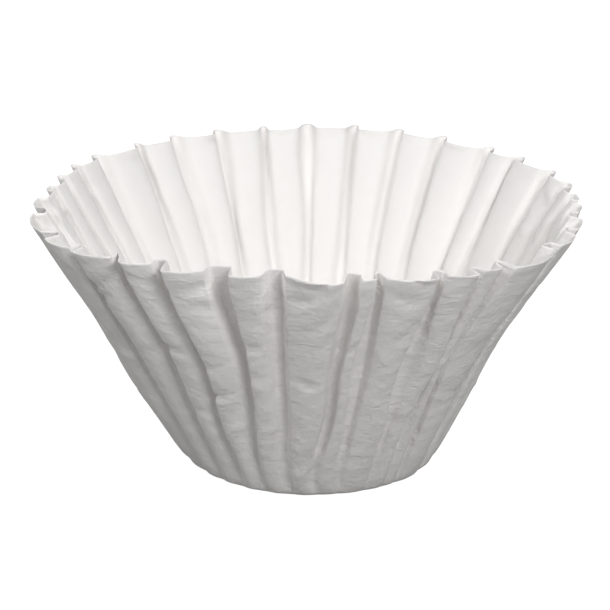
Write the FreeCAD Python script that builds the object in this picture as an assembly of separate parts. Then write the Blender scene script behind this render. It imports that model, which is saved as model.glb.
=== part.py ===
import FreeCAD, Part
import math
import os

# A fluted basket coffee filter: one round sheet of paper, pressed to a cup with a flat
# round base and a pleated wall. The origin is the middle of the base, the mouth faces +Z,
# and the front of the filter faces -Y. Lengths are in millimetres, angles in degrees.

# The flat sheet, and the cup that it is pressed to.
sheet_diameter = 457.0
base_diameter = 130.0
wall_lean = 25.6
heel_radius = 8.0
paper_thickness = 0.25

# Each flute stands out between two edges at the rim, in degrees round from the front,
# positive towards +X. The paper between one flute and the next lies further in. The
# flutes were pressed wide on the front half and narrow on the back half.
flute_angles = [
    (-76.5, -64.0), (-60.0, -51.8), (-48.4, -40.6), (-38.2, -31.8), (-27.2, -19.4),
    (-13.5, -7.0), (-4.2, 6.4), (10.4, 13.0), (14.6, 24.8), (27.2, 32.6), (34.2, 36.8),
    (38.6, 51.8), (55.0, 62.0), (66.0, 73.0), (76.5, 82.0), (86.0, 91.0), (96.0, 99.0),
    (106.6, 109.2), (120.8, 123.2), (130.7, 132.9), (144.5, 146.7), (155.6, 158.0),
    (167.1, 169.3), (178.4, 180.8), (189.9, 192.1), (200.9, 202.9), (211.2, 213.6),
    (222.5, 224.7), (234.9, 237.1), (244.2, 246.4), (253.8, 256.2), (263.2, 266.2),
    (272.5, 278.5),
]

# How much of a flute's depth is shared evenly by all of them, from 0 to 1.
depth_evenness = 0.4

# The side that slopes down from a flute takes up a share of the gap after it at the rim,
# but no more than a share of the flute's own width. The side before a flute is square.
slope_of_gap = 0.35
slope_of_face = 0.25

# The outer faces and the valleys bow out of their chord by a share of their width, but
# no more than a share of the flute's depth.
bow_of_width = 0.14
bow_of_depth = 0.35

# How soon the sides stand up as the flutes deepen: 1 is evenly, and less is sooner.
side_rise = 0.45

# How wide the bend at each crease is at the rim, and the most of a strip it may take.
crease_width = 2.4
crease_of_strip = 0.3

# Rows of facets that follow the rounded heel and the straight wall, and how often the
# search for each row's depth is halved.
heel_rows = 2
wall_rows = 4
halvings = 30

full_turn = 360.0
base_radius = base_diameter / 2
sheet_radius = sheet_diameter / 2
heel_turn = math.radians(90.0 - wall_lean)
heel_length = heel_radius * heel_turn
slant = sheet_radius - base_radius
flute_count = len(flute_angles)
first_middle = math.radians(sum(flute_angles[0]) / 2)


def profile(reach):
    """Mean radius and height of the wall, reach along the paper from the base's edge."""
    turn = min(reach / heel_radius, heel_turn)
    straight = max(reach - heel_length, 0.0)
    radius = base_radius + heel_radius * math.sin(turn) + straight * math.cos(heel_turn)
    height = heel_radius * (1 - math.cos(turn)) + straight * math.sin(heel_turn)
    return radius, height


def rim_turns():
    """The angles that the strips take up at the rim.

    Each flute has four strips in turn: its outer face, the side that slopes down from it,
    the valley, and the square side of the next flute.
    """
    turns = []
    for index in range(flute_count):
        start, end = flute_angles[index]
        next_start = flute_angles[(index + 1) % flute_count][0]
        face = math.radians(end - start)
        gap = math.radians((next_start - end) % full_turn)
        slope = min(gap * slope_of_gap, face * slope_of_face)
        turns += [face, slope, gap - slope, 0.0]
    return turns


def depth_shares(turns):
    """Each flute's depth as a share of the mean depth: a wide flute is deeper."""
    shares = []
    for index in range(flute_count):
        valleys = turns[4 * index - 2] + turns[4 * index + 2]
        pitch = (turns[4 * index] + valleys / 2) * flute_count / (2 * math.pi)
        shares.append(depth_evenness + (1 - depth_evenness) * pitch)
    return shares


at_rim = rim_turns()
shares = depth_shares(at_rim)


def outline(radius, depth, turns):
    """Corners and bowed middles of the strips round one row, for a mean flute depth."""
    points = []
    angle = first_middle - turns[0] / 2
    for index in range(flute_count):
        out = depth * shares[index] / 2
        next_out = depth * shares[(index + 1) % flute_count] / 2
        face, side, valley, next_side = turns[4 * index:4 * index + 4]
        face_bow = min(bow_of_width * face * radius, bow_of_depth * 2 * out)
        valley_bow = min(bow_of_width * valley * radius, bow_of_depth * 2 * out)
        for far, turn in (
            (radius + out - face_bow, face / 2),
            (radius + out, face / 2),
            (radius + out - face_bow, side),
            (radius - out + valley_bow, valley / 2),
            (radius - (out + next_out) / 2, valley / 2),
            (radius - next_out + valley_bow, next_side),
        ):
            points.append((far, angle))
            angle += turn
    return [FreeCAD.Vector(far * math.sin(turn), -far * math.cos(turn), 0) for far, turn in points]


def creased(sharp, reach):
    """The outline with every corner made a narrow bend, a point on each side of it."""
    bend = crease_width / 2 * (base_radius + reach) / sheet_radius
    points = []
    for index, corner in enumerate(sharp):
        if index % 3 == 1:
            points.append(corner)
            continue
        for other in (sharp[index - 1], sharp[(index + 1) % len(sharp)]):
            side = other - corner
            points.append(corner + side * min(bend / side.Length, crease_of_strip))
    return points


def length_round(points):
    return sum((points[index] - points[index - 1]).Length for index in range(len(points)))


def closing_depth(reach, turns_for):
    """The mean depth at which the paper at this reach just goes round, none stretched."""
    radius = profile(reach)[0]
    paper = 2 * math.pi * (base_radius + reach)
    shallow = 0.0
    deep = 4 * math.pi * sheet_radius / flute_count
    for _ in range(halvings):
        depth = (shallow + deep) / 2
        if length_round(creased(outline(radius, depth, turns_for(depth)), reach)) < paper:
            shallow = depth
        else:
            deep = depth
    return shallow


rim_depth = closing_depth(slant, lambda depth: at_rim)


def base_turns():
    """The angles that the strips take up where the paper lies flat, at the base's edge."""
    sharp = outline(profile(slant)[0], rim_depth, at_rim)
    steps = [(sharp[(index + 1) % len(sharp)] - sharp[index]).Length for index in range(len(sharp))]
    paper = []
    for index in range(0, len(steps), 3):
        paper += [steps[index] + steps[index + 1], steps[index + 2]]
    return [2 * math.pi * length / sum(paper) for length in paper]


at_base = base_turns()


def turns_at(depth):
    """The strips' angles on a row, between those at the base and those at the rim."""
    done = min(depth / rim_depth, 1.0) ** side_rise
    return [low * (1 - done) + high * done for low, high in zip(at_base, at_rim)]


def row(reach):
    """One row of the fold pattern, reach along the paper from the base's edge."""
    radius, height = profile(reach)
    depth = closing_depth(reach, turns_at) if reach else 0.0
    points = creased(outline(radius, depth, turns_at(depth)), reach)
    return [FreeCAD.Vector(point.x, point.y, height) for point in points]


def row_reaches():
    """Where the rows lie along the paper, from the base's edge to the rim."""
    heel = [heel_length * step / heel_rows for step in range(heel_rows)]
    wall = [heel_length + (slant - heel_length) * step / wall_rows for step in range(wall_rows + 1)]
    return heel + wall


def inner_rows(outer):
    """The paper's inner face: the outer one moved in by the paper's thickness."""
    up = FreeCAD.Vector(0, 0, 1)
    inner = [[point + up * paper_thickness for point in outer[0]]]
    for level in range(1, len(outer)):
        below = outer[level - 1]
        above = outer[min(level + 1, len(outer) - 1)]
        count = len(outer[level])
        moved = []
        for index, point in enumerate(outer[level]):
            around = outer[level][(index + 1) % count] - outer[level][index - 1]
            along = above[index] - below[index]
            inward = along.cross(around)
            if level == len(outer) - 1:
                inward.z = 0.0
            moved.append(point + inward.normalize() * paper_thickness)
        inner.append(moved)
    return inner


def ring(points):
    """A closed outline through the points of one row."""
    return Part.makePolygon(points + [points[0]])


def facets(rows):
    """Flat triangles between each row and the next, two for each stretch of a strip."""
    faces = []
    for low, high in zip(rows, rows[1:]):
        count = len(low)
        for index in range(count):
            after = (index + 1) % count
            faces.append(Part.Face(ring([low[index], low[after], high[after]])))
            faces.append(Part.Face(ring([low[index], high[after], high[index]])))
    return faces


outer = [row(reach) for reach in row_reaches()]
inner = inner_rows(outer)
faces = facets(outer) + facets(inner)
faces.append(Part.Face(ring(outer[0])))
faces.append(Part.Face(ring(inner[0])))
faces.append(Part.makeFace([ring(outer[-1]), ring(inner[-1])], "Part::FaceMakerBullseye"))

skin = Part.makeShell(faces)
skin.sewShape()
coffee_filter = Part.Solid(skin)
if coffee_filter.Volume < 0:
    coffee_filter.reverse()

os.makedirs("parts", exist_ok=True)
coffee_filter.exportStep("parts/coffee_filter.step")

print("height %.1f, mean flute depth at the rim %.1f" % (profile(slant)[1], rim_depth))
print("closed %s, valid %s, volume %.0f" % (
    coffee_filter.isClosed(), coffee_filter.isValid(), coffee_filter.Volume))
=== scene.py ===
import math

import bmesh
import bpy
import numpy as np
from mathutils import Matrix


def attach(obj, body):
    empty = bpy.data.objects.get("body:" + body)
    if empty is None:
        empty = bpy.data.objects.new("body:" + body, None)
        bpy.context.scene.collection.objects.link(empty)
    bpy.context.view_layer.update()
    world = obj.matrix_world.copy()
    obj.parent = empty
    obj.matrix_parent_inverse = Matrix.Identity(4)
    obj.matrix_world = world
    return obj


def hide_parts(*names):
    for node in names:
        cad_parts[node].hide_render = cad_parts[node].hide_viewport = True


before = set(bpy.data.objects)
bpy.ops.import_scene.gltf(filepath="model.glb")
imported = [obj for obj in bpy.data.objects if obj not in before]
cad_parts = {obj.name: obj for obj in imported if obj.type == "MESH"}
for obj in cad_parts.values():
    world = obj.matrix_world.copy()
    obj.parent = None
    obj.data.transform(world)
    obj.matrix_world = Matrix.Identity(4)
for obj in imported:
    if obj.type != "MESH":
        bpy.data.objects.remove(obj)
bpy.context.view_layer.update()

# Flat sheet
# The filter is one round sheet of white paper, cut as a disc. It starts here as that
# disc: rings of faces from the middle of the base out to the sheet's cut edge, with
# twice as many faces round the upper wall as round the base.
sheet_radius = 0.2285
base_radius = 0.065
heel_radius = 0.008
wall_lean = 25.6
middle_radius = 0.012
lower_segments = 432
upper_segments = 2 * lower_segments
base_rings = 3
heel_rings = 5
lower_rings = 9
upper_rings = 45
upper_from = 0.042
lip_rings = 3
lip_width = 0.004
tiny = 1e-6
heel_turn = math.radians(90.0 - wall_lean)
heel_length = heel_radius * heel_turn
slant = sheet_radius - base_radius

base_radii = np.linspace(middle_radius, base_radius, base_rings + 1)[1:]
wall_reaches = np.concatenate([
    np.linspace(0.0, heel_length, heel_rings + 1)[1:],
    np.linspace(heel_length, upper_from, lower_rings + 1)[1:],
    np.linspace(upper_from, slant - lip_width, upper_rings + 1)[1:],
    np.linspace(slant - lip_width, slant, lip_rings + 1)[1:],
])

bm = bmesh.new()
bmesh.ops.create_circle(
    bm, cap_ends=True, cap_tris=True, segments=lower_segments, radius=middle_radius)
ring_now = middle_radius
for ring_radius in np.concatenate([base_radii, base_radius + wall_reaches]):
    edge = [e for e in bm.edges if e.is_boundary]
    if ring_now > base_radius + upper_from - tiny and len(edge) == lower_segments:
        bmesh.ops.subdivide_edges(bm, edges=edge, cuts=1)
        edge = [e for e in bm.edges if e.is_boundary]
        for vert in {vert for e in edge for vert in e.verts}:
            vert.co *= ring_now / vert.co.length
    grown = bmesh.ops.extrude_edge_only(bm, edges=edge)["geom"]
    for vert in [g for g in grown if isinstance(g, bmesh.types.BMVert)]:
        vert.co *= ring_radius / vert.co.length
    ring_now = ring_radius
bmesh.ops.recalc_face_normals(bm, faces=bm.faces[:])
if sum(face.normal.z for face in bm.faces) < 0:
    bmesh.ops.reverse_faces(bm, faces=bm.faces[:])
sheet_mesh = bpy.data.meshes.new("coffee_filter_sheet")
bm.to_mesh(sheet_mesh)
bm.free()

# Pressed flutes
# A die presses the disc to a cup: a flat base, a rounded heel, and a wall that leans
# out. The paper that the leaning wall has to spare goes into flutes, which start flat
# at the base and are deepest at the rim: so deep that the paper just goes round.

# Each flute stands out between two angles at the rim, in degrees round from the front.
flute_angles = [
    (-76.5, -64.0), (-60.0, -51.8), (-48.4, -40.6), (-38.2, -31.8), (-27.2, -19.4),
    (-13.5, -7.0), (-4.2, 6.4), (10.4, 13.0), (14.6, 24.8), (27.2, 32.6), (34.2, 36.8),
    (38.6, 51.8), (55.0, 62.0), (66.0, 73.0), (76.5, 82.0), (86.0, 91.0), (96.0, 99.0),
    (106.6, 109.2), (120.8, 123.2), (130.7, 132.9), (144.5, 146.7), (155.6, 158.0),
    (167.1, 169.3), (178.4, 180.8), (189.9, 192.1), (200.9, 202.9), (211.2, 213.6),
    (222.5, 224.7), (234.9, 237.1), (244.2, 246.4), (253.8, 256.2), (263.2, 266.2),
    (272.5, 278.5),
]
depth_evenness = 0.4
slope_of_gap = 0.35
slope_of_face = 0.25
bow_of_width = 0.14
bow_of_depth = 0.35
crease_width = 0.0024
crease_of_strip = 0.3
side_rise = 0.45
deepest_flute = 0.08
halvings = 30
corners_each = 6
whole_turn = 2 * math.pi
flute_count = len(flute_angles)
starts = np.radians([start for start, end in flute_angles])
ends = np.radians([end for start, end in flute_angles])
faces_at_rim = ends - starts
gaps_at_rim = (np.roll(starts, -1) - ends) % whole_turn
slopes_at_rim = np.minimum(gaps_at_rim * slope_of_gap, faces_at_rim * slope_of_face)
valleys_at_rim = gaps_at_rim - slopes_at_rim
none = np.zeros(flute_count)
at_rim = np.stack([faces_at_rim, slopes_at_rim, valleys_at_rim, none], 1)
valleys_beside = (np.roll(valleys_at_rim, 1) + valleys_at_rim) / 2
pitches = (faces_at_rim + valleys_beside) * flute_count / whole_turn
depth_shares = depth_evenness + (1 - depth_evenness) * pitches
first_middle = (starts[0] + ends[0]) / 2


def profile(reach):
    """Mean radius and height of the wall, reach along the paper from the base's edge."""
    turn = np.minimum(reach / heel_radius, heel_turn)
    straight = np.maximum(reach - heel_length, 0.0)
    radius = base_radius + heel_radius * np.sin(turn) + straight * math.cos(heel_turn)
    height = heel_radius * (1 - np.cos(turn)) + straight * math.sin(heel_turn)
    return radius, height


def half_steps(turns):
    """The angle from each corner or bowed middle of the strips to the next."""
    face, side, valley, next_side = turns.T
    return np.stack([face / 2, face / 2, side, valley / 2, valley / 2, next_side], 1).ravel()


def outline(radius, depth, turns, shares):
    """Angle and radius of the corners and bowed middles of the strips round one row."""
    out = depth * shares / 2
    next_out = np.roll(out, -1)
    face_bow = np.minimum(bow_of_width * turns[:, 0] * radius, bow_of_depth * 2 * out)
    valley_bow = np.minimum(bow_of_width * turns[:, 2] * radius, bow_of_depth * 2 * out)
    far = np.stack([
        radius + out - face_bow, radius + out, radius + out - face_bow,
        radius - out + valley_bow, radius - (out + next_out) / 2,
        radius - next_out + valley_bow], 1).ravel()
    turned = np.concatenate([[0.0], np.cumsum(half_steps(turns))[:-1]])
    return first_middle - turns[0, 0] / 2 + turned, far


def length_round(angle, far, reach):
    """Length of paper in one row, with each corner cut to a narrow bend."""
    x = far * np.sin(angle)
    y = -far * np.cos(angle)
    sides = np.stack([np.roll(x, -1) - x, np.roll(y, -1) - y], 1)
    lengths = np.hypot(sides[:, 0], sides[:, 1])
    bend = crease_width / 2 * (base_radius + reach) / sheet_radius
    back = np.roll(sides, 1, 0)
    cut = np.minimum(bend, crease_of_strip * np.minimum(lengths, np.roll(lengths, 1)))
    crossed = back[:, 0] * sides[:, 1] - back[:, 1] * sides[:, 0]
    turn = np.abs(np.arctan2(crossed, (back * sides).sum(1)))
    return lengths.sum() - (2 * cut * (1 - np.cos(turn / 2))).sum()


def closing_depth(reach, turns_for):
    """The mean depth at which the paper at this reach just goes round, none stretched."""
    radius = profile(reach)[0]
    paper = whole_turn * (base_radius + reach)
    shallow = 0.0
    deep = deepest_flute
    for _ in range(halvings):
        depth = (shallow + deep) / 2
        angle, far = outline(radius, depth, turns_for(depth), depth_shares)
        if length_round(angle, far, reach) < paper:
            shallow = depth
        else:
            deep = depth
    return shallow


rim_depth = closing_depth(slant, lambda depth: at_rim)
rim_angle, rim_far = outline(profile(slant)[0], rim_depth, at_rim, depth_shares)
rim_x = rim_far * np.sin(rim_angle)
rim_y = -rim_far * np.cos(rim_angle)
paper_steps = np.hypot(np.roll(rim_x, -1) - rim_x, np.roll(rim_y, -1) - rim_y)
paper_steps = paper_steps.reshape(-1, corners_each)
paper_strips = np.stack([
    paper_steps[:, 0] + paper_steps[:, 1], paper_steps[:, 2],
    paper_steps[:, 3] + paper_steps[:, 4], paper_steps[:, 5]], 1)
at_base = whole_turn * paper_strips / paper_strips.sum()
corner_shares = np.concatenate([[0.0], np.cumsum(half_steps(at_base))]) / whole_turn
first_angle = first_middle - at_base[0, 0] / 2


def turns_at(depth):
    """The strips' angles on a row, between those at the base and those at the rim."""
    done = min(depth / rim_depth, 1.0) ** side_rise
    return at_base * (1 - done) + at_rim * done


# Uneven flutes
# The press leaves the flutes uneven, and packing and handling bend the wall further.
# Creases wander, flutes lean, and the soft rim isn't quite round. Angles are in degrees
# round from the front, and reaches are up the wall from the base's edge, in mm.
random = np.random.default_rng(7)

# How far the rim bulges out: the angle, and the bulge in mm.
rim_bulges = [
    (-100, 0), (-80, 3), (-70, 4), (-53, 7), (-40, -3), (-25, -9), (-12, -12), (-3, -11),
    (4, -3), (12, -6), (20, 0), (31, 7), (45, 11), (60, 9), (76, 3), (95, 4), (110, 7),
    (130, 9), (146, 13), (158, 20), (178, 20), (190, 15), (205, 13), (220, 14), (240, 9),
]
bulge_power = 2.5
bulge_at_front = 0.35
dip_at_front = 0.3
dip_all_round = 0.06

# Corners that are turned round the wall: flute, corner, reach, half length, degrees.
corner_bends = [
    (1, 3, 165, 80, -2.4), (1, 4, 165, 80, -2.8), (1, 5, 165, 80, -3.2),
    (2, 3, 165, 80, -1.8), (2, 4, 165, 80, -2.4), (2, 5, 165, 80, -3.0),
    (3, 3, 165, 70, -2.4), (3, 4, 165, 80, -2.7), (3, 5, 165, 80, -3.0),
    (4, 3, 165, 60, -2.0), (4, 4, 165, 60, -1.2), (4, 5, 165, 60, -0.9),
    (5, 2, 165, 150, -0.8), (5, 3, 165, 100, -1.4), (5, 4, 165, 150, -0.6),
    (10, 2, 170, 30, 1.0), (10, 3, 170, 30, 1.2), (10, 4, 170, 30, 1.5),
    (10, 5, 170, 30, 1.8), (11, 0, 170, 30, 1.8),
    (10, 2, 100, 45, -1.0), (10, 3, 100, 45, -1.6), (10, 4, 100, 45, -1.8),
    (10, 5, 100, 45, -1.8), (11, 0, 100, 45, -1.8),
]

# Flutes that are turned: degrees for their start and end, low down and then high up.
flute_bends = {
    2: (1.0, 2.0, 2.5, 3.5), 3: (2.0, 2.0, 3.8, 4.2), 4: (2.0, -0.3, 3.0, 2.1),
    5: (-2.3, -2.6, 1.0, 0.2), 6: (-1.8, -4.5, 0.2, -0.7), 7: (-4.5, -1.6, -1.0, -1.0),
    8: (-0.8, 0.0, 1.2, -1.2), 9: (0.2, 0.0, 0.5, 0.0),
}
low_bend_reach, high_bend_reach, bend_length = 25, 100, 37
bends_from = 0.015

# Flutes whose one edge stands out further than the other, in mm.
flute_tilts = {1: -3, 2: -4, 3: -5, 4: -6, 5: -3, 6: 4, 8: 3, 9: 3, 10: 2, 11: -2}

# Broad places where the wall is pushed out: angle, reach, half widths of both, mm.
wall_pushes = [
    (50, -5, 32, 45, 4.5), (-85, 105, 25, 22, -2.5), (-80, 55, 25, 20, 1.5),
    (75, 90, 25, 35, -2.8), (-5, 5, 30, 20, 0.5),
]

# Flutes are flatter on the two far sides, and pressed in more crisply near the base.
side_ease = 0.55
foot_crispness = 0.8
foot_length = 0.04

# How far everything wanders by chance, and how long each wave is.
wander_angle = 0.5
wander_length = 0.05
corner_part = 0.5
depth_wander_share = 0.16
depth_wander_length = 0.06
depth_wander_calmed = 0.6
lean_wander_width = 0.0007
lean_wander_length = 0.05


def slow_noise(count, length):
    """Smooth random curves up the wall, one for each of count things, about 1 high."""
    knots = int(slant / length) + 4
    heights = random.normal(size=(count, knots))
    places = wall_reaches / length
    low = np.floor(places).astype(int)
    part = places - low
    part = part * part * (3 - 2 * part)
    return heights[:, low] * (1 - part) + heights[:, low + 1] * part


def bend_near(reach, length):
    """1 at a reach in mm, and less above and below it."""
    return np.exp(-((wall_reaches * 1000 - reach) / length) ** 2)


corner_wander = np.radians(wander_angle) * slow_noise(flute_count * corners_each, wander_length)
flute_wander = slow_noise(flute_count, wander_length)
flute_wander = np.radians(wander_angle) * np.repeat(flute_wander, corners_each, 0)
depth_wander = depth_wander_share * slow_noise(flute_count, depth_wander_length)
lean_wander = lean_wander_width * slow_noise(flute_count, lean_wander_length)
for flute, corner, reach, length, shift in corner_bends:
    turned = np.radians(shift) / corner_part * bend_near(reach, length)
    corner_wander[flute * corners_each + corner] += turned

flute_shift = np.zeros((flute_count * corners_each, len(wall_reaches)))
low = bend_near(low_bend_reach, bend_length)
high = bend_near(high_bend_reach, bend_length)
for flute, shifts in flute_bends.items():
    low_start, low_end, high_start, high_end = np.radians(shifts)
    start_shift = low_start * low + high_start * high
    end_shift = low_end * low + high_end * high
    before = (flute - 1) * corners_each
    after = flute * corners_each
    flute_shift[before + 4] += start_shift / 2
    flute_shift[before + 5] += start_shift
    flute_shift[after] += start_shift
    flute_shift[after + 1] += (start_shift + end_shift) / 2
    flute_shift[after + 2] += end_shift
    flute_shift[after + 3] += end_shift
    flute_shift[after + 4] += end_shift / 2

tilts = np.zeros(flute_count)
for flute, tilt in flute_tilts.items():
    tilts[flute] = tilt / 1000
corner_tilts = np.stack([-tilts / 2, none, tilts / 2, none, none, none], 1).ravel()
bulge_angles = np.radians([angle for angle, bulge in rim_bulges])
bulge_sizes = np.array([bulge for angle, bulge in rim_bulges]) / 1000

# Creases on the sheet
# The disc's vertices are moved round it until columns of them lie on the creases, and
# more of them near a crease and on the front half. The paper's own UV map is the flat
# disc, so its grain runs round the sheet as it did before it was pressed.
front_fineness = 0.45
front_steepness = 4
front_edge = 0.25
crease_crowding = 0.65
co = np.zeros(len(sheet_mesh.vertices) * 3)
sheet_mesh.vertices.foreach_get("co", co)
co = co.reshape(-1, 3)
flat_radius = np.hypot(co[:, 0], co[:, 1])
turned = np.arctan2(co[:, 0], -co[:, 1]) - first_angle
place = np.rint(turned / whole_turn * upper_segments) % upper_segments
strip_starts = [
    corners_each * flute + corner for flute in range(flute_count) for corner in (0, 2, 3, 5)]
crease_shares = corner_shares[strip_starts + [-1]]
crease_middles = first_angle + (crease_shares[1:] + crease_shares[:-1]) / 2 * whole_turn
fineness = np.tanh(front_steepness * (np.cos(crease_middles) + front_edge))
finer = np.diff(crease_shares) * (1 + front_fineness * fineness)
crease_places = np.concatenate([[0.0], np.cumsum(finer)]) / finer.sum()
crease_places = np.rint(crease_places * upper_segments)
strip = np.searchsorted(crease_places, place, side="right") - 1
across = (place - crease_places[strip]) / (crease_places[strip + 1] - crease_places[strip])
crowded = (1 - np.cos(np.pi * across)) / 2
across = (1 - crease_crowding) * across + crease_crowding * crowded
share = crease_shares[strip] + across * (crease_shares[strip + 1] - crease_shares[strip])
flat_angle = first_angle + share * whole_turn
flat = np.stack([
    flat_radius * np.sin(flat_angle), -flat_radius * np.cos(flat_angle), np.zeros(len(co))], 1)
co = flat.copy()
loop_verts = np.zeros(len(sheet_mesh.loops), dtype=int)
sheet_mesh.loops.foreach_get("vertex_index", loop_verts)
sheet_uv = sheet_mesh.uv_layers.new(name="sheet")
sheet_uv.data.foreach_set("uv", flat[loop_verts, :2].ravel())

# Pressed wall
# Each ring of the disc is bent to the flutes' outline at its height, every strip of
# it bowed a little, and the corners are rounded as a die leaves them. Then the rim
# bulges, and the broad pushes move the wall.
smooth_passes = 2
foot_passes = 2
for level, reach in enumerate(wall_reaches):
    on_ring = np.nonzero(np.abs(flat_radius - base_radius - reach) < tiny)[0]
    on_ring = on_ring[np.argsort(place[on_ring])]
    radius, height = profile(reach)
    depth = closing_depth(reach, turns_at)
    done = depth / rim_depth
    wander = 1 + depth_wander[:, level] * (1 - depth_wander_calmed * done)
    angle, far = outline(radius, depth, turns_at(depth), depth_shares * wander)
    wander = corner_wander[:, level] * corner_part + flute_wander[:, level]
    angle = angle + wander * min(done * 2, 1.0)
    angle = angle + flute_shift[:, level] * min(reach / bends_from, 1.0)
    far = radius + (far - radius) * (1 - side_ease * done ** 2 * np.sin(angle) ** 4)
    far = radius + (far - radius) * (1 + foot_crispness * math.exp(-reach / foot_length))
    far = far + corner_tilts * done + np.repeat(lean_wander[:, level], corners_each) * done
    corners = np.stack([far * np.sin(angle), -far * np.cos(angle)], 1)
    first = corners[strip_starts]
    last = np.roll(first, -1, 0)
    middle = (first + last) / 2
    middle[0::4] = corners[1::corners_each]
    middle[2::4] = corners[4::corners_each]
    pull = 2 * middle - (first + last) / 2
    u = across[on_ring][:, None]
    on = strip[on_ring]
    spot = first[on] * (1 - u) ** 2 + 2 * pull[on] * u * (1 - u) + last[on] * u ** 2
    for _ in range(smooth_passes + int(foot_passes * (1 - reach / slant))):
        spot = (np.roll(spot, 1, 0) + 2 * spot + np.roll(spot, -1, 0)) / 4
    x, y = spot[:, 0], spot[:, 1]
    round_angle = np.arctan2(x, -y)
    bulge = np.interp(round_angle, bulge_angles, bulge_sizes, period=whole_turn)
    bulge = bulge * (reach / slant) ** bulge_power
    spread = bulge_at_front + (1 - bulge_at_front) * np.sin(round_angle) ** 2
    grown = 1 + bulge * spread / np.hypot(x, y)
    dip = (1 - spread) * bulge * (dip_at_front * np.cos(round_angle) + dip_all_round)
    co[on_ring, 0] = x * grown
    co[on_ring, 1] = y * grown
    co[on_ring, 2] = height - dip

wall_angle = np.degrees(np.arctan2(co[:, 0], -co[:, 1]))
reach_mm = (flat_radius - base_radius) * 1000
push = np.zeros(len(co))
for angle, reach, half_angle, half_reach, size in wall_pushes:
    off = (wall_angle - angle + 180) % 360 - 180
    push += size / 1000 * np.exp(-(off / half_angle) ** 2 - ((reach_mm - reach) / half_reach) ** 2)
push *= np.minimum(flat_radius / base_radius, 1.0)
away = np.maximum(np.hypot(co[:, 0], co[:, 1]), middle_radius / 2)
co[:, :2] *= (1 + push / away)[:, None]

# Crumples
# Thin creped paper that was pressed, packed and handled carries soft crosswise creases,
# small dents, and crush marks under its rim. They are shallow, and each is a short fold.

# Each dent has its angle, reach, lean, length, width and depth into the cup.
dents = [
    (-10.8, 116, 0, 5, 3.0, 2.1), (0.1, 94, 8, 7, 3.0, 1.4), (-21.7, 100, -5, 6, 3.0, 1.3),
    (-22.6, 81, -8, 9, 3.2, 1.8), (-32.4, 109, 0, 7, 3.0, 1.8), (-2.3, 32, 20, 5, 2.8, 1.3),
    (46.9, 71, -10, 6, 3.0, 1.4), (9.4, 117, 0, 4, 2.8, 1.1), (18.7, 114, -5, 5, 2.8, 1.1),
    (-0.5, 151, -35, 11, 3.0, 1.4), (3.0, 138, -60, 12, 3.0, 1.4), (1.0, 158, -22, 11, 2.8, 1.3),
    (20.8, 158, 20, 9, 2.8, 1.4), (19.0, 149, 12, 10, 3.0, 1.1), (-44.0, 144, -35, 18, 3.4, 2.2),
    (-47.0, 134, -25, 13, 3.0, 1.6), (-33.0, 150, 10, 9, 3.0, 1.4), (-22.0, 151, -20, 13, 3.0, 1.3),
    (-20.0, 140, 10, 11, 3.0, 1.4), (-63.7, 98, 0, 8, 3.2, 2.7), (-62.9, 84, 0, 7, 3.2, 2.2),
    (63.0, 127, 0, 10, 4.0, 1.4), (204.0, 158, 6, 8, 2.6, -1.4), (187.0, 158, -6, 8, 2.6, -1.4),
    (174.0, 157, 10, 9, 2.6, -1.4), (164.0, 158, -8, 9, 2.6, -1.4), (141.0, 158, 5, 8, 2.6, -1.4),
    (228.0, 157, 0, 8, 2.6, -1.4),
]
dent_reach = 0.0025
dent_angle = 0.8

# Crumples by chance: how many, between which angles, between which shares of the
# wall's height, and how long, wide and deep they are.
crumple_kinds = [
    (60, (-180, 180), (0.02, 1.0), (0.007, 0.016), (0.005, 0.009), 0.0004),
    (90, (-60, 58), (0.05, 1.0), (0.006, 0.014), (0.004, 0.008), 0.0004),
    (420, (-100, 100), (0.04, 1.0), (0.004, 0.012), (0.0026, 0.0045), 0.00022),
    (120, (100, 260), (0.04, 1.0), (0.004, 0.012), (0.0026, 0.0045), 0.0003),
    (40, (68, 108), (0.72, 1.0), (0.006, 0.012), (0.0035, 0.006), 0.0011),
    (30, (-100, -70), (0.75, 1.0), (0.006, 0.012), (0.0035, 0.006), 0.0009),
]
crumples_upward = 0.7
crumple_lean = 0.5
fold_reach = 3
fold_curl = 4
folds_from = 0.02

folds = []
for angle, reach, lean, long, wide, deep in dents:
    off = (wall_angle - angle + 180) % 360 - 180
    close = np.abs(flat_radius - base_radius - reach / 1000) < dent_reach
    near = np.nonzero(close & (np.abs(off) < dent_angle))[0]
    spot = near[np.argmax(np.hypot(co[near, 0], co[near, 1]))]
    folds.append((
        math.atan2(flat[spot, 0], -flat[spot, 1]), flat_radius[spot] - base_radius,
        math.radians(lean), long / 1000, wide / 1000, deep / 1000))
for count, angles, reaches, long_range, wide_range, deep in crumple_kinds:
    for _ in range(count):
        folds.append((
            math.radians(random.uniform(*angles)),
            slant * random.uniform(*reaches) ** crumples_upward,
            random.normal(0.0, crumple_lean),
            random.uniform(*long_range), random.uniform(*wide_range), random.normal(0.0, deep)))

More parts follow.
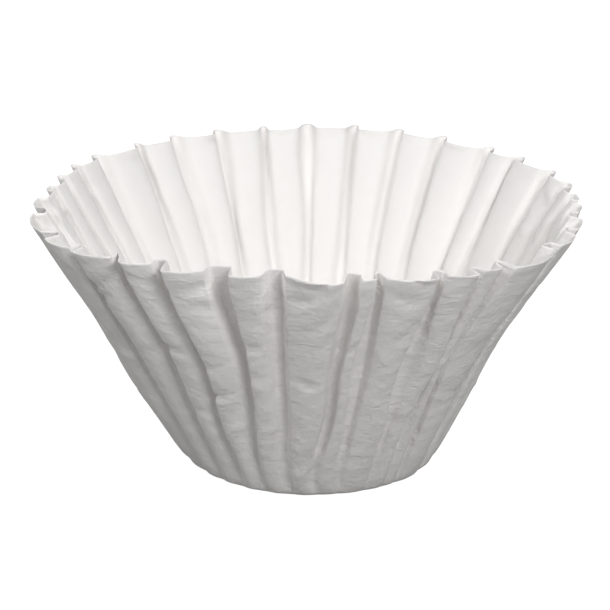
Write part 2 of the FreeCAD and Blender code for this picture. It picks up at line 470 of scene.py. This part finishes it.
sheet_mesh.vertices.foreach_set("co", co.ravel())
sheet_mesh.update()
inward = np.zeros(len(co) * 3)
sheet_mesh.vertices.foreach_get("normal", inward)
inward = inward.reshape(-1, 3)
press = np.zeros(len(co))
for angle, reach, lean, long, wide, deep in folds:
    dx = flat[:, 0] - (base_radius + reach) * math.sin(angle)
    dy = flat[:, 1] + (base_radius + reach) * math.cos(angle)
    near = np.nonzero(np.hypot(dx, dy) < fold_reach * long)[0]
    turn = angle + lean
    along = dx[near] * math.cos(turn) + dy[near] * math.sin(turn)
    off_fold = dy[near] * math.cos(turn) - dx[near] * math.sin(turn)
    curl = off_fold + along ** 2 / (fold_curl * long)
    tent = np.maximum(0.0, 1 - np.abs(curl) / wide)
    press[near] += deep * tent * np.exp(-(along / long) ** 2)
on_wall = np.clip((flat_radius - base_radius) / folds_from, 0.0, 1.0)
co += inward * (press * on_wall)[:, None]
sheet_mesh.vertices.foreach_set("co", co.ravel())
sheet_mesh.update()
for polygon in sheet_mesh.polygons:
    polygon.use_smooth = True

filter_sheet = bpy.data.objects.new("coffee_filter_sheet", sheet_mesh)
bpy.context.collection.objects.link(filter_sheet)
thickness = filter_sheet.modifiers.new("paper thickness", "SOLIDIFY")
thickness.thickness = 0.00025
thickness.offset = 1.0

# White filter paper
# Bleached, uncoated crepe paper: matt, a little cloudy where the fibres lie unevenly,
# with a fine creped grain that runs round the sheet and small soft wrinkles.
paper = bpy.data.materials.new("white filter paper")
paper.use_nodes = True
nodes = paper.node_tree.nodes
links = paper.node_tree.links
shader = nodes["Principled BSDF"]
shader.inputs["Roughness"].default_value = 0.92
shader.inputs["Specular IOR Level"].default_value = 0.15
uv = nodes.new("ShaderNodeUVMap")
uv.uv_map = "sheet"

# Clouds of fibres, as two whites.
clouds = nodes.new("ShaderNodeTexNoise")
clouds.inputs["Scale"].default_value = 90.0
clouds.inputs["Detail"].default_value = 6.0
clouds.inputs["Roughness"].default_value = 0.7
tint = nodes.new("ShaderNodeMix")
tint.data_type = "RGBA"
tint.inputs["A"].default_value = (0.880, 0.862, 0.845, 1.0)
tint.inputs["B"].default_value = (0.915, 0.901, 0.888, 1.0)
links.new(uv.outputs["UV"], clouds.inputs["Vector"])
links.new(clouds.outputs["Fac"], tint.inputs["Factor"])
links.new(tint.outputs["Result"], shader.inputs["Base Color"])

# Small wrinkles. The front half was handled more, so they are stronger there.
wrinkles = nodes.new("ShaderNodeTexNoise")
wrinkles.inputs["Scale"].default_value = 120.0
wrinkles.inputs["Detail"].default_value = 5.0
wrinkles.inputs["Roughness"].default_value = 0.55
wrinkle_bump = nodes.new("ShaderNodeBump")
wrinkle_bump.inputs["Distance"].default_value = 0.003
sides = nodes.new("ShaderNodeSeparateXYZ")
handled = nodes.new("ShaderNodeMapRange")
handled.inputs["From Min"].default_value = -0.09
handled.inputs["From Max"].default_value = 0.02
handled.inputs["To Min"].default_value = 0.48
handled.inputs["To Max"].default_value = 0.12
links.new(uv.outputs["UV"], wrinkles.inputs["Vector"])
links.new(wrinkles.outputs["Fac"], wrinkle_bump.inputs["Height"])
links.new(uv.outputs["UV"], sides.inputs[0])
links.new(sides.outputs["Y"], handled.inputs["Value"])
links.new(handled.outputs["Result"], wrinkle_bump.inputs["Strength"])

# The way out from the sheet's middle, which the crosswise patterns are drawn by.
towards = nodes.new("ShaderNodeVectorMath")
towards.operation = "NORMALIZE"
from_middle = nodes.new("ShaderNodeVectorMath")
from_middle.operation = "LENGTH"
links.new(uv.outputs["UV"], towards.inputs[0])
links.new(uv.outputs["UV"], from_middle.inputs[0])


def crosswise_noise(round_scale, out_scale, detail):
    """Noise drawn out round the sheet, with its own scale round and outwards."""
    round_part = nodes.new("ShaderNodeVectorMath")
    round_part.operation = "SCALE"
    round_part.inputs["Scale"].default_value = round_scale
    out_part = nodes.new("ShaderNodeMath")
    out_part.operation = "MULTIPLY"
    out_part.inputs[1].default_value = out_scale
    upward = nodes.new("ShaderNodeCombineXYZ")
    spot = nodes.new("ShaderNodeVectorMath")
    spot.operation = "ADD"
    noise = nodes.new("ShaderNodeTexNoise")
    noise.inputs["Scale"].default_value = 1.0
    noise.inputs["Detail"].default_value = detail
    links.new(towards.outputs[0], round_part.inputs[0])
    links.new(from_middle.outputs["Value"], out_part.inputs[0])
    links.new(out_part.outputs[0], upward.inputs["Z"])
    links.new(round_part.outputs[0], spot.inputs[0])
    links.new(upward.outputs[0], spot.inputs[1])
    links.new(spot.outputs[0], noise.inputs["Vector"])
    return noise.outputs["Fac"]


def bump_on(below, height, distance):
    """A bump on top of another one, weaker on the sheet's back half."""
    bump = nodes.new("ShaderNodeBump")
    bump.inputs["Distance"].default_value = distance
    links.new(handled.outputs["Result"], bump.inputs["Strength"])
    links.new(height, bump.inputs["Height"])
    links.new(below.outputs["Normal"], bump.inputs["Normal"])
    return bump


# Fine crease lines, where a crosswise noise passes its middle value, in patches.
creases = crosswise_noise(11.0, 120.0, 2.0)
from_line = nodes.new("ShaderNodeMath")
from_line.operation = "SUBTRACT"
from_line.inputs[1].default_value = 0.5
off_line = nodes.new("ShaderNodeMath")
off_line.operation = "ABSOLUTE"
crease_line = nodes.new("ShaderNodeMapRange")
crease_line.interpolation_type = "SMOOTHSTEP"
crease_line.inputs["From Max"].default_value = 0.05
crease_line.inputs["To Min"].default_value = 1.0
crease_line.inputs["To Max"].default_value = 0.0
patches = crosswise_noise(7.0, 45.0, 1.0)
patch = nodes.new("ShaderNodeMapRange")
patch.inputs["From Min"].default_value = 0.47
patch.inputs["From Max"].default_value = 0.62
crease_height = nodes.new("ShaderNodeMath")
crease_height.operation = "MULTIPLY"
links.new(creases, from_line.inputs[0])
links.new(from_line.outputs[0], off_line.inputs[0])
links.new(off_line.outputs[0], crease_line.inputs["Value"])
links.new(patches, patch.inputs["Value"])
links.new(crease_line.outputs["Result"], crease_height.inputs[0])
links.new(patch.outputs["Result"], crease_height.inputs[1])

# Soft waves, the crease lines, and the fine crepe over both.
wavy = bump_on(wrinkle_bump, creases, 0.001)
creased = bump_on(wavy, crease_height.outputs[0], 0.0003)
creped = bump_on(creased, crosswise_noise(34.0, 900.0, 2.0), 0.0005)
links.new(creped.outputs["Normal"], shader.inputs["Normal"])
sheet_mesh.materials.append(paper)

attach(filter_sheet, "root")
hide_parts("coffee_filter")

# Floor
# A plain studio floor. The camera sees it as white, but it throws back little light, so
# the outer wall, which leans over it, keeps its shade.
floor_half_width = 4.0
floor_mesh = bpy.data.meshes.new("floor")
bm = bmesh.new()
bmesh.ops.create_grid(bm, x_segments=1, y_segments=1, size=floor_half_width)
bm.to_mesh(floor_mesh)
bm.free()
floor = bpy.data.objects.new("floor", floor_mesh)
bpy.context.collection.objects.link(floor)


def in_the_picture(nodes, links):
    """1 for what the camera sees, straight, in a gloss or through something clear."""
    path = nodes.new("ShaderNodeLightPath")
    seen = nodes.new("ShaderNodeMath")
    seen.operation = "MAXIMUM"
    seen_through = nodes.new("ShaderNodeMath")
    seen_through.operation = "MAXIMUM"
    links.new(path.outputs["Is Camera Ray"], seen.inputs[0])
    links.new(path.outputs["Is Glossy Ray"], seen.inputs[1])
    links.new(seen.outputs[0], seen_through.inputs[0])
    links.new(path.outputs["Is Transmission Ray"], seen_through.inputs[1])
    return seen_through.outputs[0]


floor_paint = bpy.data.materials.new("white floor")
floor_paint.use_nodes = True
nodes = floor_paint.node_tree.nodes
links = floor_paint.node_tree.links
floor_shader = nodes["Principled BSDF"]
floor_shader.inputs["Base Color"].default_value = (0.32, 0.32, 0.32, 1.0)
floor_shader.inputs["Roughness"].default_value = 1.0
floor_shader.inputs["Specular IOR Level"].default_value = 0.0
floor_shader.inputs["Emission Color"].default_value = (1.0, 1.0, 1.0, 1.0)
glow = nodes.new("ShaderNodeMath")
glow.operation = "MULTIPLY"
glow.inputs[1].default_value = 0.965
links.new(in_the_picture(nodes, links), glow.inputs[0])
links.new(glow.outputs[0], floor_shader.inputs["Emission Strength"])
floor_mesh.materials.append(floor_paint)

# Backdrop
# White all round where the camera looks past the floor, and a weak, even light from all
# sides on the filter itself.
world = bpy.data.worlds.new("studio")
world.use_nodes = True
bpy.context.scene.world = world
nodes = world.node_tree.nodes
links = world.node_tree.links
soft = nodes["Background"]
soft.inputs["Color"].default_value = (1.0, 1.0, 1.0, 1.0)
soft.inputs["Strength"].default_value = 0.10
white = nodes.new("ShaderNodeBackground")
white.inputs["Strength"].default_value = 1.0
white.inputs["Color"].default_value = (1.0, 1.0, 1.0, 1.0)
both = nodes.new("ShaderNodeMixShader")
links.new(in_the_picture(nodes, links), both.inputs["Fac"])
links.new(soft.outputs[0], both.inputs[1])
links.new(white.outputs[0], both.inputs[2])
links.new(both.outputs[0], nodes["World Output"].inputs["Surface"])


# Lamps
# Two wide lamps over the mouth of the cup, the left one stronger, a smaller one in front
# that shows the folds, and weak ones from the front left and from behind.
def lamp(name, place, aim, size, energy):
    """A square soft lamp at a place, turned to face a point."""
    light = bpy.data.lights.new(name, "AREA")
    light.energy = energy
    light.size = size
    holder = bpy.data.objects.new(name, light)
    dx = aim[0] - place[0]
    dy = aim[1] - place[1]
    dz = aim[2] - place[2]
    holder.location = place
    holder.rotation_euler = (math.atan2(math.hypot(dx, dy), -dz), 0.0, math.atan2(-dx, dy))
    bpy.context.collection.objects.link(holder)


mouth = (0.0, 0.02, 0.08)
wall = (0.0, 0.0, 0.06)
lamp("upper left", (-0.55, -0.38, 1.12), mouth, 0.5, 5.8)
lamp("upper right", (0.55, -0.38, 1.12), mouth, 0.5, 3.6)
lamp("front", (0.32, -0.87, 0.62), wall, 0.3, 4.4)
lamp("front left", (-0.80, -0.65, 0.42), wall, 0.5, 1.2)
lamp("back", (0.2, 1.1, 0.35), wall, 0.4, 2.5)

# Camera
# It looks down on the filter from the front, at the photograph's angle. Its place is
# in rim radii, and its focal length and shift are in the picture's own pixels.
rim_radius = 0.1454
camera_back = 5.0
camera_up = 2.433
camera_tilt = 20.57
focal_pixels = 1412.4
shift_pixels = -1.7
picture_width = 610.0
camera_data = bpy.data.cameras.new("camera")
camera_data.sensor_width = 36.0
camera_data.lens = focal_pixels / picture_width * camera_data.sensor_width
camera_data.shift_x = shift_pixels / picture_width
camera = bpy.data.objects.new("camera", camera_data)
camera.location = (0.0, -camera_back * rim_radius, camera_up * rim_radius)
camera.rotation_euler = (math.radians(90.0 - camera_tilt), 0.0, 0.0)
bpy.context.collection.objects.link(camera)
bpy.context.scene.camera = camera
bpy.context.scene.view_settings.view_transform = "Standard"
